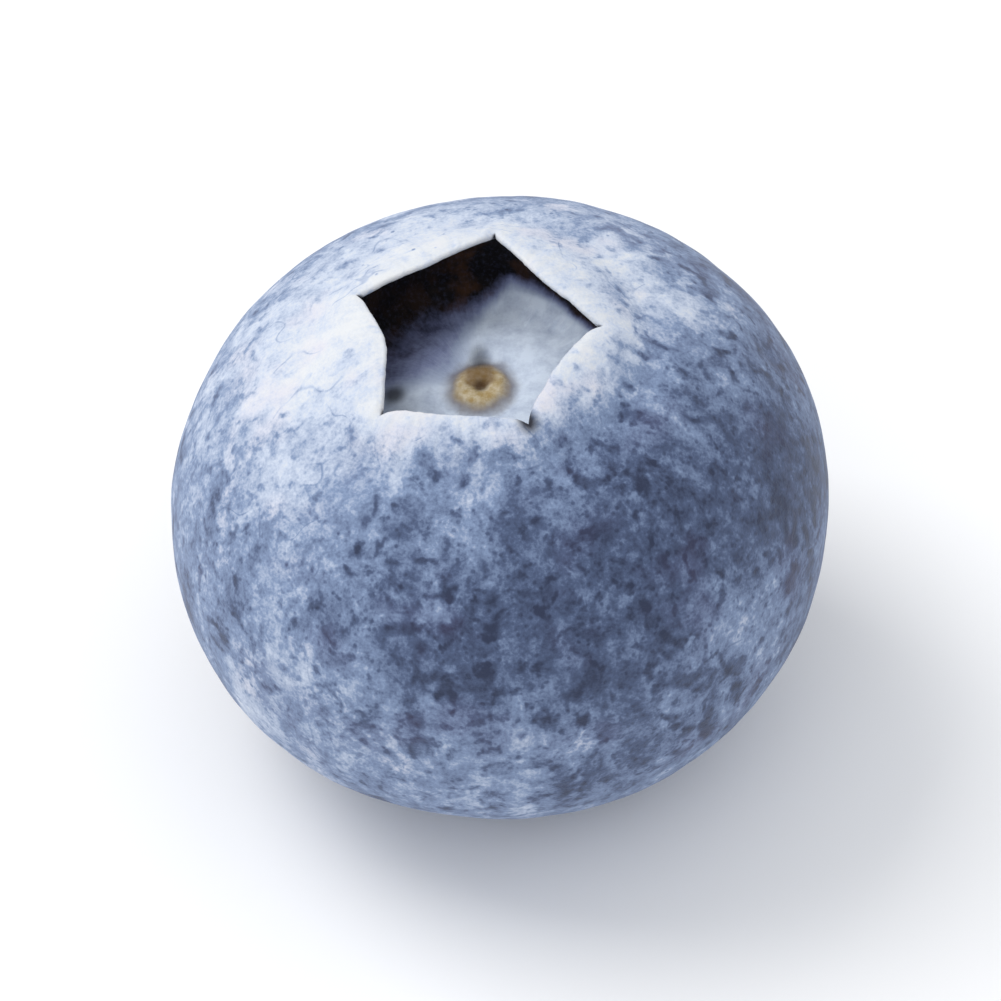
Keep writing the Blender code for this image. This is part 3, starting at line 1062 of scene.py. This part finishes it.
# %% Measure how far the fine skin strays from the solid
def gap_to_solid(points, every=97):
    """The furthest that any of the tested points lies from the packed solid, in millimetres."""
    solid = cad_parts["blueberry"]
    corners = [solid.matrix_world @ vertex.co for vertex in solid.data.vertices]
    tree = BVHTree.FromPolygons(corners, [tuple(face.vertices) for face in solid.data.polygons])
    return max(tree.find_nearest(Vector(point * MM))[3] for point in points[::every]) / MM


print("furthest from the solid:", round(gap_to_solid(placed), 3), "mm")

# %% [markdown]
# ## The table
#
# The berry needs a surface to stand on and to catch its shadow. A backdrop with a curved sweep
# would do, but one large, almost white square is enough, because its far edge is far away. It
# lies a hair below the berry, so that the two never share a face.

# %% A pale table
TABLE_SIDE = 3.0
TABLE_GAP = 0.02 * MM
TABLE_PALE, TABLE_PALER = (0.925, 0.93, 0.94), (0.94, 0.94, 0.945)


def floor_material():
    material, shader, dab = new_material("pale_table")
    spot = millimetres(dab)
    pale = spot.noise(0.02, 3.0).ramp([(0.3, TABLE_PALE), (0.7, TABLE_PALER)])
    plug(pale, shader["Base Color"])
    shader["Roughness"].default_value = 0.7
    shader["Specular IOR Level"].default_value = 0.2
    return material


def add_floor():
    shape = bmesh.new()
    bmesh.ops.create_grid(shape, x_segments=1, y_segments=1, size=0.5 * TABLE_SIDE)
    mesh = bpy.data.meshes.new("table_top")
    shape.to_mesh(mesh)
    shape.free()
    mesh.materials.append(floor_material())
    floor = bpy.data.objects.new("table_top", mesh)
    floor.location.z = -TABLE_GAP
    bpy.context.scene.collection.objects.link(floor)


add_floor()
print("table:", TABLE_SIDE, "m wide")

# %% [markdown]
# ## Light
#
# One large soft light stands high on the left and a little behind. It throws the crown's wall
# into shadow and gives the berry its pale left side. A weaker one in front lifts the near side,
# and a pale sky fills the rest. A photographer's softboxes do the same, and Blender's square area
# lights behave like them: the larger they are, the softer the shadow.

# %% Two softboxes and the sky
def add_light(name, place, side, power, colour):
    """A square softbox, facing the berry's middle."""
    lamp = bpy.data.lights.new(name, "AREA")
    lamp.size = side
    lamp.energy = power
    lamp.color = colour
    holder = bpy.data.objects.new(name, lamp)
    holder.location = place
    aim = Vector((0.0, 0.0, 0.5 * CAD_HIGH.z)) - holder.location
    holder.rotation_euler = aim.to_track_quat("-Z", "Y").to_euler()
    bpy.context.scene.collection.objects.link(holder)


def pale_sky(strength, colour):
    world = bpy.data.worlds.new("pale_sky")
    world.use_nodes = True
    sky = world.node_tree.nodes["Background"].inputs
    sky["Color"].default_value = (*colour, 1.0)
    sky["Strength"].default_value = strength
    bpy.context.scene.world = world


WARM, COOL, SKY_BLUE = (1.0, 0.985, 0.96), (0.96, 0.98, 1.0), (0.96, 0.975, 1.0)
add_light("softbox_left", place=(-0.24, 0.10, 0.36), side=0.26, power=0.95, colour=WARM)
add_light("softbox_front", place=(-0.10, -0.36, 0.34), side=0.34, power=0.30, colour=COOL)
pale_sky(strength=0.80, colour=SKY_BLUE)
bpy.context.scene.view_settings.view_transform = "Standard"

# %% [markdown]
# ## The camera
#
# It looks down at 45 degrees, which shows the crown and the flank at once. A short lens close by
# would make the crown bulge. A long lens from a hand's length away keeps the berry's true
# outline, and the distance is worked out from the share of the frame that the berry fills.

# %% The camera
LENS = 240.0
SENSOR = 36.0
ELEVATION = math.radians(45.0)
BERRY_SHARE = 0.66


def add_camera():
    """Looks along +Y and down, with the berry filling its share of the square frame."""
    data = bpy.data.cameras.new("camera")
    data.lens = LENS
    data.sensor_width = SENSOR
    width = CAD_HIGH.x - CAD_LOW.x
    distance = width / BERRY_SHARE * LENS / SENSOR
    camera = bpy.data.objects.new("camera", data)
    back = Vector((0.0, -math.cos(ELEVATION), math.sin(ELEVATION)))
    camera.location = 0.5 * (CAD_LOW + CAD_HIGH) + back * distance
    camera.rotation_euler = (-back).to_track_quat("-Z", "Y").to_euler()
    data.clip_start, data.clip_end = 0.1 * distance, 100.0 * distance
    bpy.context.scene.collection.objects.link(camera)
    bpy.context.scene.camera = camera
    print("camera", round(distance, 3), "m from the berry")


add_camera()

# %% [markdown]
# The second must lie inside the first, or the fine skin would stick out of the part that is
# measured.
